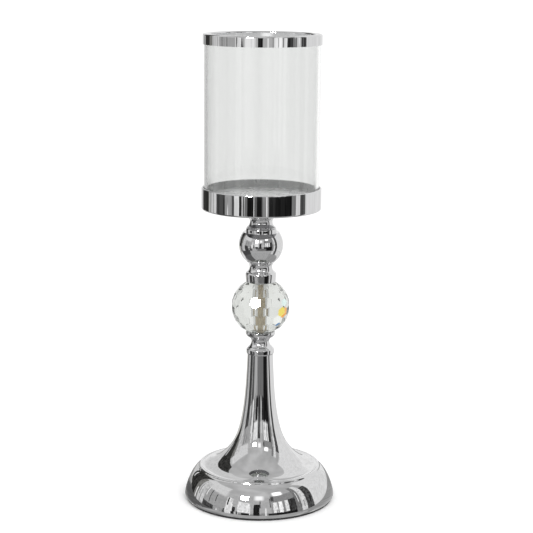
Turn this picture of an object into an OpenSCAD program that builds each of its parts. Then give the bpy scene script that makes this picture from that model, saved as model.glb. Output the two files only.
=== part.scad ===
// Pillar candle holder: a plated stand with a faceted crystal ball in its stem,
// a round tray for the candle, and a loose glass cylinder with a plated rim ring.
// Millimetres, +Z up, origin at the middle of the flat underside.

/* [Base] */
// Diameter of the base at its widest
base_d = 136; // [128:1:142]
// Diameter of the crease between the dome and the flared stem
crease_d = 106; // [100:1:108]
// Height of that crease above the table
base_h = 31.2; // [29:0.2:34]
// Thickness of the soft pad under the base
pad_t = 2; // [1:0.5:3]
// Thickness of the cast ring that weights the base
ballast_t = 12; // [6:1:12]
// Sheet thickness of the spun parts
sheet_t = 1.2; // [0.8:0.1:1.4]

/* [Stem] */
// Height of the flared stem from the crease to its top
stem_h = 103.1; // [95:0.1:115]
// Diameter of the flared stem at its top
stem_top_d = 23; // [21:0.5:24]
// Diameter of the rod that ties the stand together
rod_d = 6; // [5:0.5:6]

/* [Spools and balls] */
// Height of the spool under the crystal
lower_spool_h = 21.1; // [20:0.1:26]
// Diameter of the bead at the foot of that spool
bead_d = 25; // [24:0.5:26]
// Diameter of the seats that hold the crystal
seat_d = 26.6; // [25:0.2:27]
// Crystal ball, measured across opposite facets
crystal_d = 51; // [50:0.5:54]
// Height of the crystal between its two flats
crystal_h = 44.4; // [43:0.2:46]
// Facets in each row round the crystal, an even number
facets_round = 16; // [14:2:18]
// Height of the collar above the crystal
collar_h = 19.2; // [19:0.1:24]
// Diameter of the plated ball
ball_d = 39.4; // [38:0.2:42]
// Height of the plated ball between its two flats
ball_h = 25.8; // [24:0.2:27]
// Height of the spool under the tray
upper_spool_h = 20.6; // [20:0.1:26]

/* [Tray] */
// Outer diameter of the tray
tray_d = 106; // [105.6:0.2:110]
// Height of the tray's side
tray_h = 19.4; // [18:0.2:26]
// Thickness of the tray's side
tray_wall = 1.6; // [1.2:0.1:1.6]
// Depth below the tray's edge of the groove that the glass stands in
floor_depth = 7.2; // [4:0.2:8]
// Rise of the candle's seat above that groove
seat_rise = 0.6; // [0.4:0.1:1]

/* [Glass shade] */
// Outer diameter of the glass cylinder
glass_d = 101.6; // [100:0.1:101.6]
// Wall thickness of the glass
glass_wall = 2.4; // [2:0.1:3]
// Height of the shade from its foot to the top of its ring
shade_h = 141.4; // [100:0.1:220]
// Height of the rim ring
ring_h = 9.2; // [7:0.1:14]

/* [Hidden] */
$fn = 96;
gap = 0.3;                                   // running room round the rod
bore_r = rod_d / 2 + gap;
gasket_t = 0.5;
plate_t = 1;
sleeve_t = 0.9;
curve_n = 14;                                // steps in a long curve
arc_n = 5;                                   // steps in a small rounding

// Heights of the joints between the pieces, from the table up
plate_z = pad_t;
ballast_z = plate_z + plate_t;
crease_z = base_h - 0.7;                     // the stem's foot lies in a step of the shell
stem_foot_z = crease_z - sheet_t;
flange_z = stem_foot_z - sheet_t;
clamp_t = 2;
clamp_z = flange_z - clamp_t;
stem_top_z = base_h + stem_h;
lower_gasket_z = stem_top_z + lower_spool_h;
crystal_z = lower_gasket_z + gasket_t;
upper_gasket_z = crystal_z + crystal_h;
collar_z = upper_gasket_z + gasket_t;
ball_z = collar_z + collar_h;
upper_spool_z = ball_z + ball_h;
tray_z = upper_spool_z + upper_spool_h;
tray_top_z = tray_z + tray_h;
floor_z = tray_top_z - floor_depth;
shade_top_z = floor_z + shade_h;
glass_top_z = shade_top_z - 2.5;             // the ring's sealant lies over the glass

// Radii
base_r = base_d / 2;
pad_r = base_r - 1.2;
crease_r = crease_d / 2;
stem_top_r = stem_top_d / 2;
tray_r = tray_d / 2;
tray_in_r = tray_r - tray_wall;
glass_r = glass_d / 2;
glass_in_r = glass_r - glass_wall;
candle_seat_r = glass_in_r - 1.2;
sleeve_r = bore_r + sleeve_t;

// Rod and fasteners
nut_h = 5;
nut_af = 10;                                 // across its flats
thread_gap = 0.02;
thread_end = 1.5;                            // the rod stands out of each nut by this
washer_r = 9;
washer_t = 1.5;
washer_hole_r = rod_d / 2 + 0.2;
lock_r = 5.9;                                // the spring washer
lock_t = 1.6;
lock_slit = 0.8;
base_nut_z = clamp_z - washer_t - lock_t - nut_h;
lock_z = base_nut_z + nut_h;
tray_floor_t = 1.5;
tray_washer_z = tray_z + tray_floor_t;
tray_nut_z = tray_washer_z + washer_t;
rod_bottom_z = base_nut_z - thread_end;
rod_top_z = tray_nut_z + nut_h + thread_end;

// Curves, as lists of [radius, height]
function bez(p, t) = pow(1 - t, 3) * p[0] + 3 * pow(1 - t, 2) * t * p[1]
                   + 3 * (1 - t) * t * t * p[2] + pow(t, 3) * p[3];
function curve(p, n = curve_n) = [for (i = [0:n]) bez(p, i / n)];
function arc(c, r, from, to, n = arc_n) =
    [for (i = [0:n]) let (a = from + (to - from) * i / n) c + r * [cos(a), sin(a)]];
// The same line moved sideways by t, to its left as it is walked
function beside(pts, t) =
    [for (i = [0:len(pts) - 1])
        let (a = pts[max(i - 1, 0)], b = pts[min(i + 1, len(pts) - 1)], d = (b - a) / norm(b - a))
        pts[i] + t * [-d[1], d[0]]];
function reversed(pts) = [for (i = [len(pts) - 1:-1:0]) pts[i]];

// A solid of revolution with a bore along its axis
module turned(outline, z = 0, bore = bore_r) {
    translate([0, 0, z])
        rotate_extrude()
            polygon(concat([[bore, outline[0][1]]], outline, [[bore, outline[len(outline) - 1][1]]]));
}

module washer(r, hole, t, z) {
    translate([0, 0, z])
        difference() {
            cylinder(r = r, h = t);
            translate([0, 0, -1]) cylinder(r = hole, h = t + 2);
        }
}

// The dome runs from a short upright hem up to the foot of the shoulder,
// and the shoulder is a small roll that stands round the crease
shoulder_r = 1.5;
shoulder_c = [crease_r + 0.6, base_h - 2.1];
dome_end = [crease_r + 3.4, base_h - 3.4];
dome_dir = [-0.8, 0.6];
function dome_line() =
    let (hem = pad_t + 1.5)
    concat([[base_r - 0.5, pad_t]],
           curve([[base_r, hem], [base_r, hem + 3], dome_end - 9 * dome_dir, dome_end]));
function shoulder_line() =
    let (roll = arc(shoulder_c, shoulder_r, 15, 100, 7))
    concat(curve([dome_end, dome_end + 0.9 * dome_dir, roll[0] - [-0.2, 0.8], roll[0]], 5), roll);

// Outer line of the stem: a shallow dish at its foot, then a long flare to its top
waist_r = 25;
waist_h = 18.8;
function stem_line() =
    let (foot = [crease_r - 0.5, crease_z], w = [waist_r, base_h + waist_h], dir = [-0.545, 0.838])
    concat(curve([foot, foot + [-11, 0.4], w - 10 * dir, w], 10),
           [for (i = [1:curve_n]) bez([w, w + 18.9 * dir,
                                      [stem_top_r + 1.3, base_h + 0.67 * stem_h],
                                      [stem_top_r, stem_top_z]], i / curve_n)]);

module felt_pad() {
    edge = 0.3;
    color("#1b1b1d")
        turned([[pad_r - edge, 0], [pad_r, edge], [pad_r, pad_t]], 0, 0);
}

module base_plate() {
    shell_gap = 0.6;
    nut_hole_r = 12;                         // for the spanner, before the pad goes on
    color("#8d9094")
        washer(base_r - sheet_t - shell_gap, nut_hole_r, plate_t, plate_z);
}

module ballast_ring() {
    r = base_r - 8;
    hole_r = 20;
    slope = 3;                               // keeps its top corner clear of the dome
    foot = 0.5;
    color("#3d3d40")
        turned([[r - foot, 0], [r, foot], [r, ballast_t - slope], [r - slope, ballast_t],
                [hole_r + 1, ballast_t]], ballast_z, hole_r);
}

module base_shell() {
    dome = dome_line();
    step_r = crease_r - 0.3;
    flange_r = crease_r - 9;
    color("#c9ccd0")
        rotate_extrude()
            polygon(concat(dome, shoulder_line(),
                           [[step_r, crease_z], [step_r, stem_foot_z], [flange_r, stem_foot_z],
                            [flange_r, flange_z], [step_r - 1, flange_z]],
                           [for (p = reversed(beside(dome, sheet_t))) [p[0], max(p[1], pad_t)]]));
}

module trumpet_stem() {
    outer = stem_line();
    inner = beside(outer, sheet_t);
    color("#c9ccd0")
        rotate_extrude()
            polygon(concat([[crease_r - 0.5, stem_foot_z]], outer,
                           [[stem_top_r - sheet_t, stem_top_z]],
                           [for (p = reversed(inner)) if (p[1] < stem_top_z - 1 && p[1] > crease_z) p],
                           [[crease_r - 8, stem_foot_z]]));
}

module stem_bush() {
    r = stem_top_r - sheet_t - 0.05;
    lead_in = 0.6;
    bush_h = 3;
    color("#b9bbb8")
        turned([[r - lead_in / 2, 0], [r, lead_in], [r, bush_h]], stem_top_z - bush_h);
}

module lower_spool() {
    bead_r = bead_d / 2;
    seat_r = seat_d / 2;
    neck_r = seat_r - 5.2;
    neck_h = 11.7;
    edge = 1.3;
    groove_r = 6.4;
    color("#c9ccd0")
        turned(concat(arc([bead_r - edge, edge], edge, -90, 0),
                      arc([bead_r - edge, 4.1], edge, 0, 80),
                      arc([neck_r + groove_r, neck_h], groove_r, 235, 180, 6),
                      curve([[neck_r, neck_h], [neck_r, neck_h + 4.5],
                             [seat_r, lower_spool_h - 5.6], [seat_r, lower_spool_h - 1.6]], 8),
                      arc([seat_r - 0.5, lower_spool_h - 0.5], 0.5, 0, 90, 3)),
               stem_top_z);
}

// The gaskets keep the crystal off the metal seats
module gasket(z) {
    inset = 1.5;
    color("#dfe3e4")
        washer(seat_d / 2 - inset, sleeve_r + 1.1, gasket_t, z);
}

module lower_gasket() gasket(lower_gasket_z);

module upper_gasket() gasket(upper_gasket_z);

// Each slab between two parallel planes cuts two opposite facets of the crystal
module crystal_ball() {
    turn = 360 / facets_round;
    row_pitch = 18.8;
    rows = [for (row = [0:3]) for (k = [0:(row == 0 ? facets_round / 2 : facets_round) - 1])
               [row * row_pitch, (k + (row % 2) / 2) * turn]];
    color("#eef3f2", 0.6)
        difference() {
            translate([0, 0, crystal_z + crystal_h / 2])
                intersection() {
                    cube([2 * crystal_d, 2 * crystal_d, crystal_h], center = true);
                    intersection_for (f = rows)
                        rotate([0, 0, f[1]]) rotate([0, -f[0], 0])
                            cube([crystal_d, 2 * crystal_d, 2 * crystal_d], center = true);
                }
            translate([0, 0, crystal_z - 1]) cylinder(r = sleeve_r + gap, h = crystal_h + 2);
        }
}

module crystal_sleeve() {
    color("#b08d57")
        washer(sleeve_r, bore_r, crystal_h + 2 * gasket_t, lower_gasket_z);
}

module collar_spool() {
    seat_r = seat_d / 2;
    collar_r = seat_r + 0.35;
    shoulder_z = 7;
    edge = 1.9;
    groove_r = 6;
    neck_z = shoulder_z + 6.4;
    neck_r = seat_r - 3.2;
    color("#c9ccd0")
        turned(concat([[seat_r - 0.3, 0], [seat_r, 0.3], [collar_r, shoulder_z - 2]],
                      arc([collar_r - edge, shoulder_z], edge, 0, 65),
                      arc([neck_r + groove_r, neck_z], groove_r, 228, 121, 10),
                      [[neck_r + 2.9, collar_h - 0.6], [neck_r + 2.9, collar_h]]),
               collar_z);
}

module chrome_ball() {
    r = ball_d / 2;
    wall = 1.5;
    low = 0.36 * ball_d;                     // from its lower flat up to its centre
    color("#c9ccd0")
        translate([0, 0, ball_z + low])
            difference() {
                intersection() {
                    sphere(r = r);
                    translate([0, 0, -low]) cylinder(r = r, h = ball_h);
                }
                intersection() {
                    sphere(r = r - wall);
                    translate([0, 0, wall - low]) cylinder(r = r, h = ball_h - 2 * wall);
                }
                translate([0, 0, -r]) cylinder(r = bore_r, h = 2 * r);
            }
}

module upper_spool() {
    ring_r = seat_d / 2 + 0.3;
    edge = 1.4;
    groove_r = 5.5;
    neck_r = ring_r - 3.5;
    neck_z = 9.1;
    color("#c9ccd0")
        turned(concat([[ring_r, 0], [ring_r, 2.2]],
                      arc([ring_r - edge, 2.4], edge, 10, 70, 4),
                      arc([neck_r + groove_r, neck_z], groove_r, 241, 122, 10),
                      arc([ring_r - edge, upper_spool_h - 4], edge, -60, 0, 4),
                      [[ring_r, upper_spool_h]]),
               upper_spool_z);
}

module tray_cup() {
    low_edge = 1.5;
    top_edge = tray_wall / 2;
    color("#c9ccd0")
        turned(concat([[tray_r - low_edge, 0]],
                      arc([tray_r - low_edge, low_edge], low_edge, -72, 0),
                      arc([tray_r - top_edge, tray_h - top_edge], top_edge, 0, 180, 8),
                      [[tray_in_r, tray_floor_t]]),
               tray_z);
}

// The candle's seat stands a little proud, inside the groove for the glass
module tray_pan() {
    pan_t = 1.5;
    bend = 0.6;
    skirt_r = tray_in_r - pan_t;
    seat_z = floor_z + seat_rise;
    foot_z = tray_z + tray_floor_t;
    color("#a9abad")
        rotate_extrude()
            polygon([[0, seat_z], [candle_seat_r - seat_rise, seat_z], [candle_seat_r, floor_z],
                     [tray_in_r - bend, floor_z], [tray_in_r, floor_z - bend],
                     [tray_in_r, foot_z], [skirt_r, foot_z],
                     [skirt_r, floor_z - pan_t], [0, floor_z - pan_t]]);
}

module clamp_plate() {
    clamp_r = crease_r - 4;
    color("#8d9094")
        washer(clamp_r, bore_r, clamp_t, clamp_z);
}

module tie_rod() {
    chamfer = 0.6;
    r = rod_d / 2;
    color("#9a9da1")
        rotate_extrude()
            polygon([[0, rod_bottom_z], [r - chamfer, rod_bottom_z], [r, rod_bottom_z + chamfer],
                     [r, rod_top_z - chamfer], [r - chamfer, rod_top_z], [0, rod_top_z]]);
}

// A hexagon with its corners turned down
module hex_nut(z) {
    corner_r = nut_af / 2 / cos(30);
    down = 0.6;
    difference() {
        intersection() {
            translate([0, 0, z]) cylinder(r = corner_r, h = nut_h, $fn = 6);
            turned([[corner_r - down, 0], [corner_r + 0.1, down], [corner_r + 0.1, nut_h - down],
                    [corner_r - down, nut_h]], z, 0);
        }
        translate([0, 0, z - 1]) cylinder(r = rod_d / 2 + thread_gap, h = nut_h + 2);
    }
}

module hex_nuts() {
    color("#9a9da1")
        for (z = [base_nut_z, tray_nut_z])
            hex_nut(z);
}

module flat_washers() {
    color("#9a9da1")
        for (z = [clamp_z - washer_t, tray_washer_z])
            washer(washer_r, washer_hole_r, washer_t, z);
}

// One turn of square wire, split at one side
module spring_washer() {
    color("#6f7276")
        difference() {
            washer(lock_r, washer_hole_r, lock_t, lock_z);
            translate([rod_d / 2 - 1, -lock_slit / 2, lock_z - 1])
                cube([lock_r, lock_slit, lock_t + 2]);
        }
}

module glass_cylinder() {
    edge = 0.6;
    low = floor_z + edge;
    top = glass_top_z - edge;
    color("#e6ecea", 0.4)
        rotate_extrude()
            polygon(concat(arc([glass_in_r + edge, low], edge, 180, 270, 3),
                           arc([glass_r - edge, low], edge, 270, 360, 3),
                           arc([glass_r - edge, top], edge, 0, 90, 3),
                           arc([glass_in_r + edge, top], edge, 90, 180, 3)));
}

// Sizes of the channel that the rim ring makes round the glass
ring_r = glass_r + 1.2;
ring_outer_t = 0.9;
ring_in_r = glass_in_r - 2;
ring_top_t = 1.5;
ring_inner_t = 1.5;

module rim_ring() {
    edge = 1.4;
    color("#c9ccd0")
        translate([0, 0, shade_top_z])
            rotate_extrude()
                polygon(concat([[ring_r, -ring_h]],
                               arc([ring_r - edge, -edge], edge, 0, 90),
                               arc([ring_in_r + edge, -edge], edge, 90, 180),
                               [[ring_in_r, -ring_h], [ring_in_r + ring_inner_t, -ring_h],
                                [ring_in_r + ring_inner_t, -ring_top_t],
                                [ring_r - ring_outer_t, -ring_top_t],
                                [ring_r - ring_outer_t, -ring_h]]));
}

module rim_sealant() {
    low = shade_top_z - ring_h + 0.6;        // the bead stops short of the ring's foot
    color("#e4e8e6", 0.6)
        difference() {
            washer(ring_r - ring_outer_t, ring_in_r + ring_inner_t,
                   shade_top_z - ring_top_t - low, low);
            washer(glass_r, glass_in_r, glass_top_z - low + 1, low - 1);
        }
}

felt_pad();
base_plate();
ballast_ring();
base_shell();
trumpet_stem();
stem_bush();
lower_spool();
lower_gasket();
crystal_ball();
crystal_sleeve();
upper_gasket();
collar_spool();
chrome_ball();
upper_spool();
tray_cup();
tray_pan();
clamp_plate();
tie_rod();
hex_nuts();
flat_washers();
spring_washer();
glass_cylinder();
rim_ring();
rim_sealant();
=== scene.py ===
"""Pillar candle holder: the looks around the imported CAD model, in metres, +Z up."""
import math
import random

import bmesh
import bpy
from mathutils import Matrix, Vector, noise


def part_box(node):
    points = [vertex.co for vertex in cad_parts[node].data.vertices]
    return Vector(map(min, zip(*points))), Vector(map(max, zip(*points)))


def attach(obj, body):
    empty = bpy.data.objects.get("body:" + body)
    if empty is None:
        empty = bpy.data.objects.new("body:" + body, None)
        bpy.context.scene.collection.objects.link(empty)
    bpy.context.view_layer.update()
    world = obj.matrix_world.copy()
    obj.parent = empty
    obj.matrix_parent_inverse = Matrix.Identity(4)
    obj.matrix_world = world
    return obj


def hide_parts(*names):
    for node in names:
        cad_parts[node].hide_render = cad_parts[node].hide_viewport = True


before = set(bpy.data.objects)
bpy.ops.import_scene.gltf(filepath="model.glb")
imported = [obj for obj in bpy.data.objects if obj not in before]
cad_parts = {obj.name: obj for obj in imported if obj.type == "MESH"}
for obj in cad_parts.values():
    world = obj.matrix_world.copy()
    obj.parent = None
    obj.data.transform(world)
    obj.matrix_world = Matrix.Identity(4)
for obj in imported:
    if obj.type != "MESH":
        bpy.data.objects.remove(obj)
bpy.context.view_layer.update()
scene = bpy.context.scene
MM = 0.001
SAME_POINT = 1e-7  # points nearer than this, in metres, count as one


# ---------------------------------------------------------------- where things are, from the CAD
BOXES = {node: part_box(node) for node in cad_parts}


def low(node):
    return BOXES[node][0].z


def high(node):
    return BOXES[node][1].z


def radius(node):
    return BOXES[node][1].x


PAD_T = high("felt_pad")
SHEET_T = 1.2 * MM
ROD_R = radius("tie_rod")
BORE_R = ROD_R + 0.3 * MM
BASE_R = 68 * MM
CREASE_R = radius("trumpet_stem") + 0.5 * MM
CREASE_Z = low("trumpet_stem") + SHEET_T
BASE_H = CREASE_Z + 0.7 * MM
STEM_TOP_Z = high("trumpet_stem")
STEM_TOP_R = 11.5 * MM
SEAT_R = 13.3 * MM
TRAY_R = 53 * MM
TRAY_IN_R = radius("tray_pan")
TRAY_Z = low("tray_cup")
TRAY_TOP = high("tray_cup")
FLOOR_Z = low("glass_cylinder")
CANDLE_SEAT_Z = high("tray_pan")
GLASS_R = 50.8 * MM
GLASS_IN_R = GLASS_R - 2.4 * MM
CANDLE_SEAT_R = GLASS_IN_R - 1.2 * MM
SLEEVE_R = radius("crystal_sleeve")
HOLD = 0.15 * MM  # a wall's end rings are this close to its rounded edges, so that it shades as straight
SKIN = 0.02 * MM  # the air between pieces that would otherwise share a face
NUT_AF = 10 * MM
NUT_H = 5 * MM
WASHER_T = 1.5 * MM
THREAD_LENGTH = 24 * MM
BALLAST_HOLE_R = 20 * MM
GLASS_TOP = high("glass_cylinder")
RING_TOP = high("rim_ring")
RING_LOW = low("rim_ring")


# ---------------------------------------------------------------- lines in the (radius, height) plane
def v2(r, z):
    return Vector((r, z))


def bez(points, steps):
    """A cubic curve through its first and last point, as steps + 1 points."""
    a, b, c, d = (Vector(p) for p in points)
    out = []
    for i in range(steps + 1):
        t = i / steps
        s = 1 - t
        out.append(a * s ** 3 + b * 3 * s * s * t + c * 3 * s * t * t + d * t ** 3)
    return out


def arc(centre, r, start, end, steps=10):
    """Part of a circle, from one angle to another, in degrees."""
    out = []
    for i in range(steps + 1):
        a = math.radians(start + (end - start) * i / steps)
        out.append(Vector(centre) + Vector((math.cos(a), math.sin(a))) * r)
    return out


def beside(line, t):
    """The same line moved sideways by t, to its left as it is walked."""
    out = []
    last = len(line) - 1
    for i, p in enumerate(line):
        d = (line[min(i + 1, last)] - line[max(i - 1, 0)]).normalized()
        out.append(p + Vector((-d.y, d.x)) * t)
    return out


def straight(a, b, steps):
    return [Vector(a).lerp(Vector(b), i / steps) for i in range(steps + 1)]


# ---------------------------------------------------------------- meshes
SMOOTH_ANGLE = math.radians(32)  # an edge is sharp where its faces differ by more than this


def new_piece(name, verts, faces):
    mesh = bpy.data.meshes.new(name)
    mesh.from_pydata([tuple(v) for v in verts], [], faces)
    mesh.validate()
    mesh.update()
    mesh.shade_smooth()
    mesh.set_sharp_from_angle(angle=SMOOTH_ANGLE)
    obj = bpy.data.objects.new(name, mesh)
    scene.collection.objects.link(obj)
    return obj


def lathe(name, outline, around=256, shape=None):
    """A closed solid of revolution from a closed outline, walked anticlockwise in the (radius, height) plane.
    shape(radius, height, angle) may move a point a little, as real metal and glass are never quite round."""
    line = []
    for p in outline:
        if not line or (p - line[-1]).length > SAME_POINT:
            line.append(p)
    if (line[0] - line[-1]).length < SAME_POINT:
        line.pop()
    n = len(line)
    verts, index = [], {}
    for i, p in enumerate(line):
        on_axis = p.x < SAME_POINT
        for k in range(1 if on_axis else around):
            a = 2 * math.pi * k / around
            r, z = (p.x, p.y) if shape is None or on_axis else shape(p.x, p.y, a)
            index[i, k] = len(verts)
            verts.append((r * math.cos(a), r * math.sin(a), z))
        if on_axis:
            for k in range(1, around):
                index[i, k] = index[i, 0]
    faces = []
    for i in range(n):
        j = (i + 1) % n
        if line[i].x < SAME_POINT and line[j].x < SAME_POINT:
            continue
        for k in range(around):
            m = (k + 1) % around
            ring = [index[i, k], index[i, m], index[j, m], index[j, k]]
            face = list(dict.fromkeys(ring))
            if len(face) > 2:
                faces.append(face)
    return new_piece(name, verts, faces)


def bored(outer, bore=BORE_R):
    """The closed outline of a turned part: its outer line, closed along a bore."""
    return [v2(bore, outer[0].y)] + outer + [v2(bore, outer[-1].y)]


def raised(line, z):
    return [p + v2(0, z) for p in line]


# ---------------------------------------------------------------- outlines of the spun and turned parts
def dome_line():
    """The dome from its hem up to its end at the shoulder, and then the rolled shoulder round the crease."""
    hem = PAD_T + 1.5 * MM
    end = v2(CREASE_R + 3.4 * MM, BASE_H - 3.4 * MM)
    way = v2(-0.8, 0.6)
    main = [v2(BASE_R - 0.5 * MM, PAD_T)] + bez([v2(BASE_R, hem), v2(BASE_R, hem + 3 * MM),
                                                end - way * 9 * MM, end], 60)
    roll_r = 1.5 * MM
    roll = arc((CREASE_R + 0.6 * MM, BASE_H - 0.6 * MM - roll_r), roll_r, 15, 100, 16)
    fillet = bez([end, end + way * 0.9 * MM, roll[0] - v2(-0.2, 0.8) * MM, roll[0]], 10)
    return main, fillet[1:] + roll[1:]


def shell_outline():
    """The dome in sheet, with a step inside the crease that the stem's foot lies on, and a flange."""
    main, shoulder = dome_line()
    step_r = CREASE_R - 0.3 * MM
    foot_z = CREASE_Z - SHEET_T
    flange_r = CREASE_R - 9 * MM
    inner = [v2(p.x, max(p.y, PAD_T)) for p in beside(main, SHEET_T)]
    ledge = [v2(step_r, CREASE_Z), v2(step_r, foot_z), v2(flange_r, foot_z),
             v2(flange_r, foot_z - SHEET_T), v2(step_r - MM, foot_z - SHEET_T)]
    return main + shoulder + ledge + inner[::-1]


def stem_line():
    """The trumpet: a flare from the crease to the waist, and from there a slow taper to the top."""
    foot = v2(CREASE_R - 0.5 * MM, CREASE_Z)
    waist = v2(25 * MM, BASE_H + 18.8 * MM)
    way = v2(-0.545, 0.838)
    top = v2(STEM_TOP_R, STEM_TOP_Z)
    height = STEM_TOP_Z - BASE_H
    low_part = bez([foot, foot + v2(-11, 0.4) * MM, waist - way * 10 * MM, waist], 50)
    high_part = bez([waist, waist + way * 18.9 * MM,
                     v2(STEM_TOP_R + 1.3 * MM, BASE_H + 0.67 * height), top], 70)
    return low_part + high_part[1:]


def stem_outline():
    """The trumpet in sheet, open at both ends."""
    outer = stem_line()
    foot_z = CREASE_Z - SHEET_T
    inner = [p for p in beside(outer, SHEET_T) if CREASE_Z < p.y < STEM_TOP_Z - MM]
    return ([v2(CREASE_R - 0.5 * MM, foot_z)] + outer + [v2(STEM_TOP_R - SHEET_T, STEM_TOP_Z)]
            + inner[::-1] + [v2(CREASE_R - 8 * MM, foot_z)])


def lower_spool_line():
    """A bead on the stem, a waisted neck, and the seat under the crystal."""
    bead_r, neck_r, neck_h = 12.5 * MM, SEAT_R - 5.2 * MM, 11.7 * MM
    height = 21.1 * MM
    edge, groove = 1.3 * MM, 6.4 * MM
    return (arc((bead_r - edge, edge), edge, -90, 0)
            + arc((bead_r - edge, 4.1 * MM), edge, 0, 80)
            + arc((neck_r + groove, neck_h), groove, 235, 180, 24)
            + bez([v2(neck_r, neck_h), v2(neck_r, neck_h + 4.5 * MM),
                   v2(SEAT_R, height - 5.6 * MM), v2(SEAT_R, height - 1.6 * MM)], 30)[1:]
            + arc((SEAT_R - 0.5 * MM, height - 0.5 * MM), 0.5 * MM, 0, 90, 6))


def collar_spool_line():
    """The seat on the crystal, a shoulder, and a waisted neck up to the ball."""
    height = high("collar_spool") - low("collar_spool")
    collar_r, edge, groove = SEAT_R + 0.35 * MM, 1.9 * MM, 6 * MM
    shoulder, neck_r = 7 * MM, SEAT_R - 3.2 * MM
    neck_z = shoulder + 6.4 * MM
    return ([v2(SEAT_R - 0.3 * MM, 0)] + arc((SEAT_R - 0.3 * MM, 0.3 * MM), 0.3 * MM, -45, 0, 4)
            + [v2(collar_r, shoulder - 2 * MM)]
            + arc((collar_r - edge, shoulder), edge, 0, 65, 12)
            + arc((neck_r + groove, neck_z), groove, 228, 121, 36)
            + [v2(neck_r + 2.9 * MM, height - 0.6 * MM), v2(neck_r + 2.9 * MM, height)])


def upper_spool_line():
    """A ring on the ball, a waisted neck, and a ring under the tray."""
    height = high("upper_spool") - low("upper_spool")
    ring_r, edge, groove = SEAT_R + 0.3 * MM, 1.4 * MM, 5.5 * MM
    neck_r, neck_z = ring_r - 3.5 * MM, 9.1 * MM
    return ([v2(ring_r, 0), v2(ring_r, 2.2 * MM)]
            + arc((ring_r - edge, 2.4 * MM), edge, 10, 70, 10)
            + arc((neck_r + groove, neck_z), groove, 241, 122, 36)
            + arc((ring_r - edge, height - 4 * MM), edge, -60, 0, 10)
            + [v2(ring_r, height)])


def ball_outline():
    """A hollow ball, cut off flat where it meets the spools."""
    r, wall = 19.7 * MM, 1.5 * MM
    z0, z1 = low("chrome_ball"), high("chrome_ball")
    centre = z0 + 14.2 * MM

    def cap_angle(z, sphere_r):
        return math.degrees(math.asin((z - centre) / sphere_r))

    outer = arc((0, centre), r, cap_angle(z0, r), cap_angle(z1, r), 80)
    inner = arc((0, centre), r - wall, cap_angle(z1 - wall, r - wall), cap_angle(z0 + wall, r - wall), 40)
    return ([v2(BORE_R, z0)] + outer + [v2(BORE_R, z1), v2(BORE_R, z1 - wall)] + inner
            + [v2(BORE_R, z0 + wall)])


def cup_outline():
    """The tray, a flat dish with upright sides and a rounded lip."""
    edge, lip = 1.5 * MM, 0.8 * MM
    height = TRAY_TOP - TRAY_Z
    line = ([v2(TRAY_R - edge, 0)] + arc((TRAY_R - edge, edge), edge, -72, 0, 12)
            + straight((TRAY_R, edge + HOLD), (TRAY_R, height - lip - HOLD), 6)
            + arc((TRAY_R - lip, height - lip), lip, 0, 180, 16)
            + straight((TRAY_IN_R, height - lip - HOLD), (TRAY_IN_R, 1.5 * MM), 8))
    return bored(raised(line, TRAY_Z))


def pan_outline():
    """The pan in the tray, with a raised seat for the candle inside the ring that the glass stands on."""
    thick, edge, rise = 1.5 * MM, 0.6 * MM, CANDLE_SEAT_Z - FLOOR_Z
    foot = low("tray_pan")
    return (straight((0, CANDLE_SEAT_Z), (CANDLE_SEAT_R - 2 * rise, CANDLE_SEAT_Z), 24)
            + bez([v2(CANDLE_SEAT_R - 2 * rise, CANDLE_SEAT_Z), v2(CANDLE_SEAT_R - rise, CANDLE_SEAT_Z),
                   v2(CANDLE_SEAT_R - rise, FLOOR_Z), v2(CANDLE_SEAT_R, FLOOR_Z)], 8)[1:]
            + arc((TRAY_IN_R - edge, FLOOR_Z - edge), edge, 90, 0, 5)
            + [v2(TRAY_IN_R, foot), v2(TRAY_IN_R - thick, foot), v2(TRAY_IN_R - thick, FLOOR_Z - thick),
               v2(0, FLOOR_Z - thick)])


def glass_outline():
    """A straight tube with fire-polished ends."""
    edge = 0.6 * MM
    foot = FLOOR_Z + SKIN + edge
    wall_low, wall_high = foot + HOLD, GLASS_TOP - edge - HOLD
    return (arc((GLASS_IN_R + edge, foot), edge, 180, 270, 5)
            + arc((GLASS_R - edge, foot), edge, 270, 360, 5)
            + straight((GLASS_R, wall_low), (GLASS_R, wall_high), 10)
            + arc((GLASS_R - edge, GLASS_TOP - edge), edge, 0, 90, 5)
            + arc((GLASS_IN_R + edge, GLASS_TOP - edge), edge, 90, 180, 5)
            + straight((GLASS_IN_R, wall_high), (GLASS_IN_R, wall_low), 10))


def ring_outline():
    """The rim ring, with a channel below for the top of the glass."""
    out_r, in_r, edge = 52 * MM, GLASS_IN_R - 2 * MM, 1.4 * MM
    channel_in, channel_out, roof = in_r + 1.5 * MM, out_r - 0.9 * MM, RING_TOP - 1.5 * MM
    return (straight((out_r, RING_LOW), (out_r, RING_TOP - edge - HOLD), 4)
            + arc((out_r - edge, RING_TOP - edge), edge, 0, 90, 14)
            + arc((in_r + edge, RING_TOP - edge), edge, 90, 180, 14)
            + [v2(in_r, RING_TOP - edge - HOLD), v2(in_r, RING_LOW), v2(channel_in, RING_LOW),
               v2(channel_in, roof), v2(channel_out, roof), v2(channel_out, RING_LOW)])


# ---------------------------------------------------------------- outlines of the small and hidden pieces
def pad_outline():
    """A disc of felt, its lower edge worn round."""
    r, edge = radius("felt_pad"), 0.3 * MM
    return (straight((0, 0), (r - edge, 0), 30) + arc((r - edge, edge), edge, -90, 0, 4)[1:]
            + [v2(r, PAD_T - 0.1 * MM), v2(r - 0.1 * MM, PAD_T), v2(0, PAD_T)])


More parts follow.
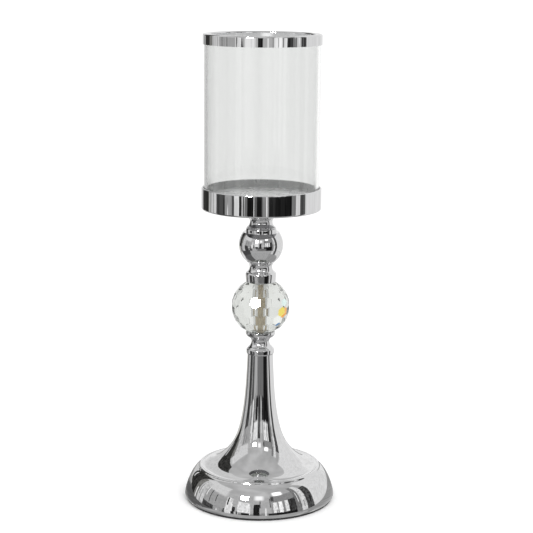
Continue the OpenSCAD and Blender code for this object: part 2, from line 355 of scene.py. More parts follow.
def ragged(r, z, a):
    """The cut edge of the felt wanders in by up to a fifth of a millimetre."""
    if r < radius("felt_pad") - 0.5 * MM:
        return r, z
    fray = noise.noise((math.cos(a) * 40, math.sin(a) * 40, z * 1500))
    return r - (0.1 + 0.1 * fray) * MM, z


def disc_outline(r, hole, z0, z1, edge=0.15 * MM):
    """A flat ring with its edges broken."""
    return [v2(hole + edge, z0), v2(r - edge, z0), v2(r, z0 + edge), v2(r, z1 - edge), v2(r - edge, z1),
            v2(hole + edge, z1), v2(hole, z1 - edge), v2(hole, z0 + edge)]


def node_disc(node, hole, skin=0):
    return disc_outline(radius(node), hole, low(node) + skin, high(node) - skin)


def ballast_outline():
    """A heavy ring with a sloping outer edge."""
    r, z0, z1 = radius("ballast_ring"), low("ballast_ring"), high("ballast_ring")
    hole, slope, edge = BALLAST_HOLE_R, 3 * MM, 0.8 * MM
    side = straight((r, z0 + edge), (r, z1 - slope), 6) + straight((r - slope, z1), (hole + edge, z1), 30)
    return ([v2(hole, z0 + edge)] + straight((hole + edge, z0), (r - edge, z0), 30) + side
            + straight((hole, z1 - edge), (hole, z0 + edge), 6)[:-1])


def cast(r, z, a):
    """The skin of a sand casting, up to 0.3 mm below its size."""
    p = Vector((r * math.cos(a), r * math.sin(a), z)) * 220
    dent = 0.15 + 0.15 * noise.noise(p)
    middle = (radius("ballast_ring") + BALLAST_HOLE_R) / 2
    inward = -1 if r > middle else 1
    return r + inward * dent * MM, z


def bush_outline():
    """A plug with its edges broken, more at its lower end."""
    r, z0, z1 = radius("stem_bush"), low("stem_bush"), high("stem_bush")
    lead_in = 0.6 * MM
    return bored([v2(r - lead_in / 2, z0), v2(r, z0 + lead_in), v2(r, z1 - lead_in / 4),
                  v2(r - lead_in / 4, z1)])


def rod_outline():
    """The rod, with rings close enough at its ends for the thread."""
    z0, z1 = low("tie_rod"), high("tie_rod")
    chamfer, step = 0.6 * MM, 0.125 * MM
    foot = straight((ROD_R, z0 + chamfer), (ROD_R, z0 + THREAD_LENGTH), round(THREAD_LENGTH / step))
    head = straight((ROD_R, z1 - THREAD_LENGTH), (ROD_R, z1 - chamfer), round(THREAD_LENGTH / step))
    return [v2(0, z0), v2(ROD_R - chamfer, z0)] + foot + head + [v2(ROD_R - chamfer, z1), v2(0, z1)]


def threaded(r, z, a):
    """A right-hand thread, cut into each end of the rod."""
    pitch, depth, flank = 1 * MM, 0.55 * MM, 2.6
    plain_from, plain_to = low("tie_rod") + THREAD_LENGTH, high("tie_rod") - THREAD_LENGTH
    if r < ROD_R * 0.9 or plain_from <= z <= plain_to:
        return r, z
    turn = (z / pitch - a / (2 * math.pi)) % 1
    return r - depth * max(0, 1 - abs(turn - 0.5) * flank), z


def nut_outline(z):
    """A nut, turned round its corners, that stands on height z."""
    corner, bore = NUT_AF / 2 / math.cos(math.radians(30)), ROD_R + SKIN
    down, lead_in, top = 0.6 * MM, 0.3 * MM, z + NUT_H
    return [v2(bore + lead_in, z), v2(corner - down, z), v2(corner, z + down), v2(corner, top - down),
            v2(corner - down, top), v2(bore + lead_in, top), v2(bore, top - lead_in), v2(bore, z + lead_in)]


def hexagonal(r, z, a):
    """Cuts the six flats of a nut out of its round outline."""
    flat = NUT_AF / 2 / math.cos((a % math.radians(60)) - math.radians(30))
    return min(r, flat), z


def sealant_outline():
    """The sealant fills the ring's channel round the top of the glass."""
    in_r, out_r = GLASS_IN_R - 0.5 * MM, radius("rim_sealant")
    z0, z1 = low("rim_sealant"), high("rim_sealant")
    return [v2(in_r, z0), v2(GLASS_IN_R - SKIN, z0), v2(GLASS_IN_R - SKIN, GLASS_TOP + SKIN),
            v2(GLASS_R + SKIN, GLASS_TOP + SKIN), v2(GLASS_R + SKIN, z0), v2(out_r, z0), v2(out_r, z1),
            v2(in_r, z1)]


def uneven(r, z, a):
    """The two lower edges of the sealant wander up and down a little."""
    if z > low("rim_sealant") + 0.1 * MM:
        return r, z
    wave = noise.noise((math.cos(a) * 9, math.sin(a) * 9, r * 300))
    return r, z + (0.5 + 0.5 * wave) * MM


def drawn_tube(r, z, a):
    """Drawn glass is never quite even: its inner wall waves by a few hundredths of a millimetre."""
    if r > (GLASS_R + GLASS_IN_R) / 2:
        return r, z
    wave = noise.noise((math.cos(a) * 14, math.sin(a) * 14, 0)) + 0.5 * math.sin(11 * a)
    return r + 0.02 * MM * wave, z


def spring_washer_mesh(name):
    """One turn of square wire, whose ends stand apart across a slit."""
    z0, z1 = low("spring_washer"), high("spring_washer")
    out_r, in_r, rise, slit, steps = radius("spring_washer"), ROD_R + 0.2 * MM, 0.35 * MM, 0.1, 72
    verts = []
    for k in range(steps + 1):
        a = slit + (2 * math.pi - 2 * slit) * k / steps
        foot = z0 + rise * k / steps
        head = z1 - rise * (1 - k / steps)
        for r, z in ((in_r, foot), (out_r, foot), (out_r, head), (in_r, head)):
            verts.append((r * math.cos(a), r * math.sin(a), z))
    faces = [(0, 1, 2, 3), tuple(4 * steps + i for i in (3, 2, 1, 0))]
    for k in range(steps):
        for i in range(4):
            j = (i + 1) % 4
            faces.append((4 * k + i, 4 * k + 4 + i, 4 * k + 4 + j, 4 * k + j))
    return new_piece(name, verts, faces)


def cut_crystal(name):
    """The crystal as it is cut: a block ground flat on each facet, with every edge just broken."""
    z0, z1 = low("crystal_ball"), high("crystal_ball")
    centre = Vector((0, 0, (z0 + z1) / 2))
    around, tilt = 16, math.radians(18.8)
    planes = [(Vector((0, 0, 1)), (z1 - z0) / 2), (Vector((0, 0, -1)), (z1 - z0) / 2)]
    for row in range(-3, 4):
        for k in range(around):
            a = (k + (row % 2) / 2) * 2 * math.pi / around
            across = Vector((math.cos(a), math.sin(a), 0)) * math.cos(row * tilt)
            planes.append((across + Vector((0, 0, math.sin(row * tilt))), radius("crystal_ball")))
    bm = bmesh.new()
    bmesh.ops.create_cube(bm, size=4 * radius("crystal_ball"), matrix=Matrix.Translation(centre))
    for normal, distance in planes:
        everything = bm.verts[:] + bm.edges[:] + bm.faces[:]
        bmesh.ops.bisect_plane(bm, geom=everything, dist=SAME_POINT,
                               plane_co=centre + normal * distance, plane_no=normal, clear_outer=True)
        bmesh.ops.holes_fill(bm, edges=[e for e in bm.edges if e.is_boundary], sides=0)
    bmesh.ops.remove_doubles(bm, verts=bm.verts, dist=0.01 * MM)
    bmesh.ops.dissolve_limit(bm, angle_limit=math.radians(0.5), verts=bm.verts, edges=bm.edges)
    bmesh.ops.bevel(bm, geom=bm.edges[:] + bm.verts[:], offset=0.08 * MM, segments=1, affect="EDGES",
                    clamp_overlap=True)
    bmesh.ops.recalc_face_normals(bm, faces=bm.faces)
    mesh = bpy.data.meshes.new(name)
    bm.to_mesh(mesh)
    bm.free()
    crystal = bpy.data.objects.new(name, mesh)
    scene.collection.objects.link(crystal)
    bore_r, spare = SLEEVE_R + 0.3 * MM, 2 * MM
    drill = lathe(name + "_drill", [v2(0, z0 - spare), v2(bore_r, z0 - spare), v2(bore_r, z1 + spare),
                                    v2(0, z1 + spare)], around=96)
    cut = crystal.modifiers.new("Bore", "BOOLEAN")
    cut.operation = "DIFFERENCE"
    cut.solver = "EXACT"
    cut.object = drill
    bored_mesh = bpy.data.meshes.new_from_object(crystal.evaluated_get(bpy.context.evaluated_depsgraph_get()))
    crystal.modifiers.clear()
    crystal.data = bored_mesh
    bpy.data.objects.remove(drill)
    bored_mesh.shade_flat()
    return crystal


# ---------------------------------------------------------------- the pieces
def place(piece, body, slot, *nodes):
    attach(piece, body)
    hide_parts(*nodes)
    return piece


def make(name, outline, body, slot, *nodes, **options):
    return place(lathe(name, outline, **options), body, slot, *nodes)


def spool(name, line, node):
    return make(name, bored(raised(line, low(node))), "stand", "chrome", node)


chrome_pieces = [
    make("Base_Dome", shell_outline(), "stand", "chrome", "base_shell"),
    make("Trumpet_Stem", stem_outline(), "stand", "chrome", "trumpet_stem"),
    spool("Lower_Spool", lower_spool_line(), "lower_spool"),
    spool("Collar_Spool", collar_spool_line(), "collar_spool"),
    make("Chrome_Ball", ball_outline(), "stand", "chrome", "chrome_ball"),
    spool("Upper_Spool", upper_spool_line(), "upper_spool"),
    make("Rim_Ring", ring_outline(), "shade", "chrome", "rim_ring"),
]
tray_cup = make("Tray_Cup", cup_outline(), "stand", "chrome", "tray_cup")
tray_pan = make("Tray_Pan", pan_outline(), "stand", "satin", "tray_pan")
glass = make("Glass_Cylinder", glass_outline(), "shade", "clear_glass", "glass_cylinder", shape=drawn_tube)
sealant = make("Rim_Sealant", sealant_outline(), "shade", "silicone", "rim_sealant", shape=uneven)
pad = make("Felt_Pad", pad_outline(), "stand", "pad", "felt_pad", around=512, shape=ragged)
base_plate = make("Base_Plate", node_disc("base_plate", 12 * MM), "stand", "plated_steel", "base_plate")
ballast = make("Ballast_Ring", ballast_outline(), "stand", "iron", "ballast_ring", around=180, shape=cast)
bush = make("Stem_Bush", bush_outline(), "stand", "nylon", "stem_bush", around=96)
gaskets = [make(name, node_disc(node, SLEEVE_R + 1.1 * MM, SKIN), "stand", "clear_vinyl", node, around=128)
           for name, node in (("Lower_Gasket", "lower_gasket"), ("Upper_Gasket", "upper_gasket"))]
sleeve = make("Crystal_Sleeve", node_disc("crystal_sleeve", BORE_R), "stand", "brass", "crystal_sleeve",
              around=96)
clamp_plate = make("Clamp_Plate", node_disc("clamp_plate", BORE_R), "stand", "plated_steel", "clamp_plate")
tie_rod = make("Tie_Rod", rod_outline(), "stand", "plated_steel", "tie_rod", around=48, shape=threaded)
nuts = [make(name, nut_outline(z), "stand", "plated_steel", "hex_nuts", around=96, shape=hexagonal)
        for name, z in (("Base_Nut", low("hex_nuts")), ("Tray_Nut", high("hex_nuts") - NUT_H))]
washers = [make(name, disc_outline(radius("flat_washers"), ROD_R + 0.2 * MM, z, z + WASHER_T), "stand",
                "plated_steel", "flat_washers", around=128)
           for name, z in (("Base_Washer", low("flat_washers")),
                           ("Tray_Washer", high("flat_washers") - WASHER_T))]
spring_washer = place(spring_washer_mesh("Spring_Washer"), "stand", "spring_steel", "spring_washer")
crystal = place(cut_crystal("Crystal_Ball"), "stand", "crystal", "crystal_ball")


# ---------------------------------------------------------------- materials
def add(m, kind, inputs, **settings):
    """A new node of a material, with its settings, and with its inputs set or linked."""
    n = m.node_tree.nodes.new("ShaderNode" + kind)
    for key, value in settings.items():
        setattr(n, key, value)
    for key, value in inputs.items():
        if isinstance(value, bpy.types.NodeSocket):
            m.node_tree.links.new(value, n.inputs[key])
        else:
            n.inputs[key].default_value = value
    return n


def surface(m):
    return m.node_tree.nodes["Principled BSDF"]


def wire(m, socket, name):
    m.node_tree.links.new(socket, surface(m).inputs[name])


def material(name, colour, roughness, metallic=0.0, **sockets):
    m = bpy.data.materials.new(name)
    m.use_nodes = True
    values = {"Base Color": (*colour, 1), "Roughness": roughness, "Metallic": metallic}
    values.update({key.replace("_", " "): value for key, value in sockets.items()})
    for key, value in values.items():
        surface(m).inputs[key].default_value = value
    return m


def grain(m, scale, detail, stretch=(1, 1, 1)):
    """Noise through the piece, with scale features in a metre, from 0 to 1."""
    spot = add(m, "TexCoord", {}).outputs["Object"]
    spot = add(m, "Mapping", {"Vector": spot, "Scale": stretch}).outputs[0]
    return add(m, "TexNoise", {"Vector": spot, "Scale": scale, "Detail": detail,
                               "Roughness": 0.55}).outputs["Fac"]


def rings(m, scale):
    """Noise that changes only with the distance from the axis, as the marks of a lathe or a brush do."""
    spot = add(m, "TexCoord", {}).outputs["Object"]
    flat = add(m, "VectorMath", {0: spot, 1: (1, 1, 0)}, operation="MULTIPLY").outputs[0]
    reach = add(m, "VectorMath", {0: flat}, operation="LENGTH").outputs["Value"]
    turn = add(m, "VectorMath", {0: flat}, operation="NORMALIZE").outputs[0]
    line = add(m, "CombineXYZ", {"X": add(m, "Math", {0: reach, 1: scale}, operation="MULTIPLY").outputs[0]})
    at = add(m, "VectorMath", {0: turn, 1: (0.7, 0.7, 0), 2: line.outputs[0]}, operation="MULTIPLY_ADD")
    return add(m, "TexNoise", {"Vector": at.outputs[0], "Scale": 1, "Detail": 4.0}).outputs["Fac"]


def between(m, value, start, end, least=0.3, most=0.7):
    """Goes from start to end as value goes from least to most."""
    return add(m, "MapRange", {"Value": value, "From Min": least, "From Max": most, "To Min": start,
                               "To Max": end}).outputs["Result"]


def blend(m, value, start, end):
    """A colour that goes from start to end with value."""
    share = between(m, value, 0, 1)
    return add(m, "Mix", {0: share, 6: (*start, 1), 7: (*end, 1)}, data_type="RGBA").outputs[2]


def relief(m, *layers):
    """Bumps, each a (height from 0 to 1, depth in metres)."""
    normal = None
    for height, depth in layers:
        inputs = {"Height": height, "Distance": depth}
        if normal is not None:
            inputs["Normal"] = normal
        normal = add(m, "Bump", inputs).outputs["Normal"]
    wire(m, normal, "Normal")


def chrome():
    """Bright plating: a little wave in the metal below it, faint wipe marks, and hardly any haze."""
    m = material("Chrome", (0.90, 0.90, 0.905), 0.03, 1.0)
    wire(m, between(m, grain(m, 45, 5), 0.015, 0.06, 0.45, 0.8), "Roughness")
    relief(m, (grain(m, 38, 1), 0.00005), (grain(m, 700, 2), 0.0000012))
    return m


def dull_plate():
    """Plating over unpolished metal, as the underside of the tray is left."""
    m = material("Dull_Plate", (0.42, 0.42, 0.43), 0.3, 1.0)
    wire(m, between(m, grain(m, 55, 4), 0.22, 0.38), "Roughness")
    relief(m, (rings(m, 2600), 0.00001))
    return m


def satin():
    """Steel brushed in circles on a lathe."""
    m = material("Satin", (0.88, 0.88, 0.885), 0.3, 0.5, Anisotropic=0.45)
    tangent = add(m, "Tangent", {}, direction_type="RADIAL", axis="Z").outputs[0]
    wire(m, tangent, "Tangent")
    brushed = rings(m, 4200)
    wire(m, blend(m, brushed, (0.82, 0.82, 0.825), (0.95, 0.95, 0.955)), "Base Color")
    wire(m, between(m, grain(m, 60, 4), 0.2, 0.36), "Roughness")
    relief(m, (brushed, 0.000012), (grain(m, 30, 2), 0.00008))
    return m


def clear_glass():
    # The grey of the glass is painted shade: much darker than clear glass, it stands in for the dimmer room
    # seen through it. Its faint green is the glass's own; the grey wanders a little in upright streaks.
    m = material("Clear_Glass", (0.86, 0.865, 0.86), 0.0, IOR=1.5, Transmission_Weight=1.0)
    wire(m, blend(m, grain(m, 60, 4, (1, 1, 0.02)), (0.835, 0.84, 0.835), (0.885, 0.89, 0.885)), "Base Color")
    wire(m, between(m, grain(m, 26, 4, (1, 1, 0.06)), 0.0, 0.02, 0.5, 0.8), "Roughness")
    relief(m, (grain(m, 210, 2, (1, 1, 0.02)), 0.0000035))
    return m


def cut_glass():
    # The grey of the crystal is painted shade: far darker than clear crystal, it stands in for the dimmer
    # room seen through it.
    m = material("Crystal", (0.70, 0.715, 0.69), 0.0, IOR=1.62, Transmission_Weight=1.0)
    wire(m, between(m, grain(m, 90, 3), 0.0, 0.012, 0.5, 0.8), "Roughness")
    return m


def felt():
    m = material("Felt", (0.02, 0.02, 0.022), 0.95, Sheen_Weight=0.25, Sheen_Roughness=0.5)
    fibres = grain(m, 2600, 4)
    wire(m, blend(m, fibres, (0.008, 0.008, 0.009), (0.035, 0.034, 0.036)), "Base Color")
    relief(m, (fibres, 0.00025), (grain(m, 160, 3), 0.0002))
    return m


def zinc():
    """Zinc plate, bluish with a faint yellow cast in places."""
    m = material("Zinc_Plate", (0.62, 0.64, 0.66), 0.35, 1.0)
    wire(m, blend(m, grain(m, 70, 5), (0.55, 0.58, 0.63), (0.68, 0.66, 0.60)), "Base Color")
    wire(m, between(m, grain(m, 240, 5), 0.26, 0.46), "Roughness")
    relief(m, (grain(m, 1500, 3), 0.00001))
    return m


def spring_steel():
    m = material("Spring_Steel", (0.2, 0.2, 0.22), 0.45, 1.0)
    wire(m, blend(m, grain(m, 500, 4), (0.10, 0.10, 0.12), (0.28, 0.28, 0.31)), "Base Color")
    wire(m, between(m, grain(m, 900, 3), 0.36, 0.55), "Roughness")
    relief(m, (grain(m, 1800, 3), 0.00001))
    return m


def cast_iron():
    m = material("Cast_Iron", (0.03, 0.03, 0.032), 0.7)
    wire(m, blend(m, grain(m, 120, 6), (0.018, 0.018, 0.02), (0.06, 0.052, 0.046)), "Base Color")
    wire(m, between(m, grain(m, 400, 4), 0.5, 0.85), "Roughness")
    relief(m, (grain(m, 450, 5), 0.0004))
    return m


def brass():
    """Drawn tube, with lines along its length and a little tarnish."""
    m = material("Brass", (0.88, 0.74, 0.56), 0.25, 0.4)
    wire(m, blend(m, grain(m, 90, 5), (0.80, 0.66, 0.50), (0.93, 0.80, 0.62)), "Base Color")
    wire(m, between(m, grain(m, 700, 3, (1, 1, 0.02)), 0.18, 0.36), "Roughness")
    relief(m, (grain(m, 900, 3, (1, 1, 0.01)), 0.00001))
    return m


def nylon():
    m = material("Nylon", (0.80, 0.79, 0.73), 0.42, Subsurface_Weight=0.3, Subsurface_Scale=0.002)
    wire(m, blend(m, grain(m, 200, 3), (0.76, 0.75, 0.69), (0.83, 0.82, 0.77)), "Base Color")
    relief(m, (grain(m, 1600, 2), 0.000008))
    return m


def clear_vinyl():
    m = material("Clear_Vinyl", (0.90, 0.92, 0.92), 0.2, IOR=1.53, Transmission_Weight=0.9)
    wire(m, between(m, grain(m, 600, 3), 0.12, 0.3), "Roughness")
    return m


def silicone():
    m = material("Silicone", (0.82, 0.84, 0.83), 0.45, IOR=1.41, Transmission_Weight=0.55)
    wire(m, between(m, grain(m, 300, 3), 0.35, 0.55), "Roughness")
    relief(m, (grain(m, 350, 2), 0.00006))
    return m


def finish(m, *pieces):
    """One finish all over each piece."""
    for piece in pieces:
        piece.data.materials.clear()
        piece.data.materials.append(m)


def finish_part(m, piece, reach, foot, top):
    """One more finish, on the part of a piece that is within reach of the axis, from foot to top."""
    piece.data.materials.append(m)
    for face in piece.data.polygons:
        if math.hypot(face.center.x, face.center.y) < reach and foot < face.center.z < top:
            face.material_index = len(piece.data.materials) - 1


finish(chrome(), tray_cup, *chrome_pieces)
brushed = satin()
finish(brushed, tray_pan)
finish_part(brushed, tray_cup, TRAY_IN_R + 0.25 * MM, FLOOR_Z - 2 * MM, TRAY_TOP)
finish_part(dull_plate(), tray_cup, TRAY_R - 2 * MM, 0, TRAY_Z + 0.2 * MM)
finish(clear_glass(), glass)
finish(cut_glass(), crystal)
finish(felt(), pad)
finish(zinc(), base_plate, clamp_plate, tie_rod, *nuts, *washers)
finish(spring_steel(), spring_washer)
finish(cast_iron(), ballast)
finish(brass(), sleeve)
finish(nylon(), bush)
finish(clear_vinyl(), *gaskets)
finish(silicone(), sealant)


# ---------------------------------------------------------------- the studio
PLATING = 0.90  # how much of the light the plating gives back
WHITE = 1.12  # the strength of the plain background, a little over white
MARGIN = (3.0, 0.05)  # how far a card's mesh goes past its nominal edges, in degrees and metres
WALLS_AWAY, WALL_GAP = 1.6, 0.01  # the first wall's distance, and how much nearer each next one stands
PANELS_AWAY, PANEL_GAP = 1.45, 0.003
BARS_AWAY = 1.34
SPARKS_AWAY = 1.3
LAMPS_AWAY = 1.1
TABLE_REACH, TABLE_Z = (0.3, 1.36), -0.34
FOOT_REACH, FOOT_Z = (0.066, 0.3), -0.2 * MM

# What the plating mirrors. Each row is a name, the angles it spans (degrees round the object, 0 to the front,
# + to the right), for what stands upright its lowest and highest point, and the grey that it shows.
WALLS = [
    ("Wall_Right", (90, 169), (-1.2, 2.6), 0.83),
    ("Wall_Left", (-112, -50), (0.12, 0.8), 0.61),
    ("Wall_Left_High", (-116, -56), (0.75, 1.8), 0.80),
    ("Wall_Left_Back", (-182, -146), (-0.2, 2.2), 0.77),
    ("Wall_Front", (-52, 24), (0.1, 1.0), 0.66),
    ("Wall_Front_Right", (20, 72), (0.1, 1.2), 0.52),
    ("Wall_Behind", (150, 192), (-1.2, 0.9), 0.87),
]
PANELS = [
    ("Doorway_Left", (-147, -120), (-0.1, 1.8), 0.20),
    ("Frame_Left", (-120, -111), (-0.4, 1.0), 0.46),
    ("Post_Left", (-110, -94), (-0.4, 1.0), 0.75),
    ("Chest_Left", (-94, -72), (-0.4, 0.14), 0.25),
    ("Low_Back", (-166, -138), (-0.4, -0.05), 0.78),
    ("Low_Corner", (-138, -110), (-0.4, -0.05), 0.46),
    ("Chair_Left", (-72, -57), (-0.06, 0.14), 0.60),
    ("Low_Left", (-72, -48), (-0.4, -0.05), 0.32),
    ("Low_Front_Left", (-47, -18), (-0.4, -0.05), 0.66),
    ("Low_Front", (-19, 22), (-0.4, -0.05), 0.42),
    ("Curtain", (-52, -42), (-0.06, 0.7), 0.86),
    ("Post_Front_Left", (-42, -36), (-0.06, 0.34), 0.20),
    ("Bright_Strip", (-37, -31), (-0.06, 0.14), 0.75),
    ("Bench", (-26, -13), (-0.06, 0.14), 0.11),
    ("Window_Left", (-33, -14), (0.16, 0.6), 0.88),
    ("Figure", (-8, 1), (-0.06, 0.55), 0.13),
    ("Low_Light", (3, 15), (-0.06, 0.16), 0.54),
    ("Chest_Shade", (14, 34), (-0.06, 0.14), 0.17),
    ("Chest_Right", (28, 60), (-0.4, 0.14), 0.10),
    ("Window_Right_A", (22, 29), (0.16, 0.6), 0.90),
    ("Window_Right_B", (31, 37), (0.16, 0.6), 0.97),
    ("Window_Right_C", (41, 47), (0.16, 0.6), 0.87),
    ("Shelf_Right", (47, 62), (0.12, 0.62), 0.24),
    ("Frame_Right", (59, 68), (-0.4, 1.7), 0.46),
    ("Light_Strip", (68, 78), (-0.4, 1.7), 0.81),
    ("Dark_Strip", (78, 91), (-0.4, 1.1), 0.28),
    ("Picture_Right", (19, 24), (0.66, 0.95), 0.30),
]
AROUND_FOOT = [
    ("Foot_Left", (-130, -62), 0.34),
    ("Foot_Front", (-64, 50), 0.62),
    ("Foot_Right", (48, 232), 0.56),
]
TABLE = [
    ("Table_Left", (-126, -64), 0.26),
    ("Table_Front", (-62, 58), 0.63),
    ("Table_Right", (56, 74), 0.76),
    ("Table_Shade", (75, 90), 0.32),
    ("Table_Far_Right", (90, 165), 0.80),
    ("Table_Behind", (165, 235), 0.85),
]
SOFT_LAMPS = [
    ("Lamp_Front", (-7, 7), (0.60, 0.86), 0.98),
    ("Lamp_Right", (25, 41), (0.82, 1.12), 1.3),
]
LEFT_LAMP = ("Lamp_Left", (-30, -18), (0.58, 0.76), 7.0)
# Coloured cards that the crystal shows, as the renderer doesn't split light into colours. The rows are the
# same, with the colour in the place of the grey.
SPARKS = [
    ("Spark_Teal", (-131, -127.5), (-0.14, 0.06), (0.08, 0.60, 0.60)),
    ("Spark_Pale", (-127.5, -123), (-0.14, 0.06), (0.85, 1.0, 1.0)),
    ("Spark_Orange", (-137, -132), (0.11, 0.29), (1.0, 0.40, 0.03)),
    ("Spark_Yellow", (-142, -137), (0.11, 0.29), (1.0, 0.80, 0.15)),
    ("Spark_Blue", (-153, -147), (0.46, 0.66), (0.06, 0.22, 0.50)),
    ("Spark_White", (-147, -142), (0.46, 0.66), (1.0, 1.0, 1.0)),
]


def tone(grey):
    """The light that a surface gives, for the grey from 0 to 1 that it shows in the plating."""
    return ((grey + 0.055) / 1.055) ** 2.4 / PLATING


def math_node(m, operation, *values):
    return add(m, "Math", dict(enumerate(values)), operation=operation).outputs[0]


def soft_edges(m, spot, size, soft):
    """1 inside a card of this size, which fades to 0 over soft at its edges."""
    split = add(m, "SeparateXYZ", {"Vector": spot})
    masks = []
    for axis, length, fade in zip("XY", size, soft):
        off = math_node(m, "ABSOLUTE", math_node(m, "SUBTRACT", split.outputs[axis], length / 2))
        masks.append(add(m, "MapRange", {"Value": off, "From Min": length / 2 + fade / 2,
                                         "From Max": length / 2 - fade / 2, "To Min": 0.0, "To Max": 1.0},
                         interpolation_type="SMOOTHSTEP").outputs[0])
    return math_node(m, "MULTIPLY", *masks)


def glow(name, size, grey, soft, clutter, sway, tint, refracted):
    """A card that only gives light. Its edges fade over soft and wander by sway, both in the units of size
    (degrees, metres), and clutter breaks it up into lighter and darker patches, as the things in a room do.
    A ray that has crossed more than two surfaces of glass misses it, and where refracted is set, so does one
    that was mirrored on the way."""
    m = bpy.data.materials.new(name)
    m.use_nodes = True
    m.node_tree.nodes.clear()
    m.cycles.emission_sampling = "NONE"
    spot = add(m, "UVMap", {}, uv_map="Card").outputs[0]
    coarse = add(m, "Mapping", {"Vector": spot, "Scale": (0.16, 9.0, 1.0)}).outputs[0]
    stir = add(m, "TexNoise", {"Vector": coarse, "Scale": 1.0, "Detail": 3.0}).outputs["Color"]
    stir = add(m, "VectorMath", {0: stir, 1: (0.5, 0.5, 0.5)}, operation="SUBTRACT").outputs[0]
    stir = add(m, "VectorMath", {0: stir, 1: (*sway, 0.0)}, operation="MULTIPLY").outputs[0]
    spot = add(m, "VectorMath", {0: spot, 1: stir}, operation="ADD").outputs[0]
    rays = add(m, "LightPath", {}).outputs
    few_crossed = math_node(m, "LESS_THAN", rays["Transmission Depth"], 2.5)
    shown = math_node(m, "MULTIPLY", soft_edges(m, spot, size, soft), few_crossed)
    if refracted:
        shown = math_node(m, "MULTIPLY", shown, math_node(m, "LESS_THAN", rays["Glossy Depth"], 0.5))
    fine = add(m, "Mapping", {"Vector": spot, "Scale": (0.4, 14.0, 1.0)}).outputs[0]
    patch = add(m, "TexVoronoi", {"Vector": fine, "Scale": 1.0}, voronoi_dimensions="2D",
                distance="CHEBYCHEV").outputs["Color"]
    light = add(m, "MapRange", {"Value": patch, "To Min": tone(grey) * (1 - clutter),
                                "To Max": tone(grey) * (1 + clutter)}).outputs[0]
    light = add(m, "Emission", {"Color": (*tint, 1), "Strength": light}).outputs[0]
    clear = add(m, "BsdfTransparent", {}).outputs[0]
    add(m, "OutputMaterial", {"Surface": add(m, "MixShader", {0: shown, 1: clear, 2: light}).outputs[0]})
    return m


def card(name, side, foot, top, grey, soft=(0.8, 0.02), clutter=0.0, sway=(3.0, 0.05), tint=(1, 1, 1),
         refracted=False):
    """A curved card round the object, from its foot to its top, each given as (distance, height). It is seen
    only in what the plating and the glass mirror, or, where refracted is set, only through the glass."""
    width, rise = side[1] - side[0], v2(*top) - v2(*foot)
    tall = rise.length
    steps = math.ceil(width / 5)
    verts, faces, corners = [], [], []
    for k in range(steps + 1):
        across = -MARGIN[0] + (width + 2 * MARGIN[0]) * k / steps
        a = math.radians(side[0] + across)
        for up in (-MARGIN[1], tall + MARGIN[1]):
            edge = v2(*foot) + rise * (up / tall)
            verts.append((edge.x * math.sin(a), -edge.x * math.cos(a), edge.y))
            corners.append((across, up))
    for k in range(steps):
        faces.append((2 * k, 2 * k + 2, 2 * k + 3, 2 * k + 1))
    mesh = bpy.data.meshes.new(name)
    mesh.from_pydata(verts, [], faces)
    layer = mesh.uv_layers.new(name="Card")
    for loop in mesh.loops:
        layer.data[loop.index].uv = corners[loop.vertex_index]
    obj = bpy.data.objects.new(name, mesh)
    scene.collection.objects.link(obj)
    mesh.materials.append(glow(name, (width, tall), grey, soft, clutter, sway, tint, refracted))
    obj.visible_camera = False
    obj.visible_diffuse = False
    obj.visible_shadow = False
    obj.visible_glossy = not refracted
    obj.visible_transmission = refracted


def upright(name, side, heights, away, grey, **looks):
    """A card that stands at one distance from the object."""
    card(name, side, (away, heights[0]), (away, heights[1]), grey, **looks)


def lying(name, side, reach, height, grey, **looks):
    """A card that lies at one height, over part of a ring round the object."""
    card(name, side, (reach[0], height), (reach[1], height), grey, **looks)


def bars(count):
    """Thin dark and light uprights from the left round to the right, for the small things of the room."""
    rng = random.Random(11)
    first, spacing = -142, 8.5
    for k in range(count):
        at = first + spacing * k + rng.uniform(-3, 3)
        foot = rng.uniform(-0.3, 0.4)
        grey = 0.9 if k % 3 == 0 else rng.uniform(0.04, 0.16)
        width = rng.uniform(0.8, 2.2)
        tall = rng.uniform(0.2, 0.5)
        upright(f"Bar_{k}", (at, at + width), (foot, foot + tall), BARS_AWAY, grey, soft=(0.3, 0.02),
                sway=(1.5, 0.02))


def room():
    """The cards round the object, each nearer than the ones that it stands in front of."""
    name, side, heights, grey = LEFT_LAMP
    upright(name, side, heights, LAMPS_AWAY, grey, soft=(1, 0.02), sway=(0, 0))
    for layer, (name, side, heights, grey) in enumerate(WALLS):
        upright(name, side, heights, WALLS_AWAY - WALL_GAP * layer, grey, soft=(6, 0.2), clutter=0.12)
    for layer, (name, side, heights, grey) in enumerate(PANELS):
        clutter = 0.8 if grey < 0.4 else 0.3
        tint = (1.0, 0.99, 0.94) if side[1] < -110 else (1, 1, 1)
        upright(name, side, heights, PANELS_AWAY - PANEL_GAP * layer, grey, clutter=clutter, tint=tint)
    for name, side, grey in AROUND_FOOT:
        lying(name, side, FOOT_REACH, FOOT_Z, grey, soft=(8, 0.06), clutter=0.15, sway=(4, 0.02))
    for name, side, grey in TABLE:
        lying(name, side, TABLE_REACH, TABLE_Z, grey, soft=(4, 0.3), clutter=0.25, sway=(8, 0.1))
    for name, side, heights, grey in SOFT_LAMPS:
        upright(name, side, heights, LAMPS_AWAY, grey, soft=(8, 0.14), sway=(0, 0))
    for name, side, heights, tint in SPARKS:
        upright(name, side, heights, SPARKS_AWAY, 1.1, soft=(0.5, 0.01), sway=(0, 0), tint=tint,
                refracted=True)
    bars(26)


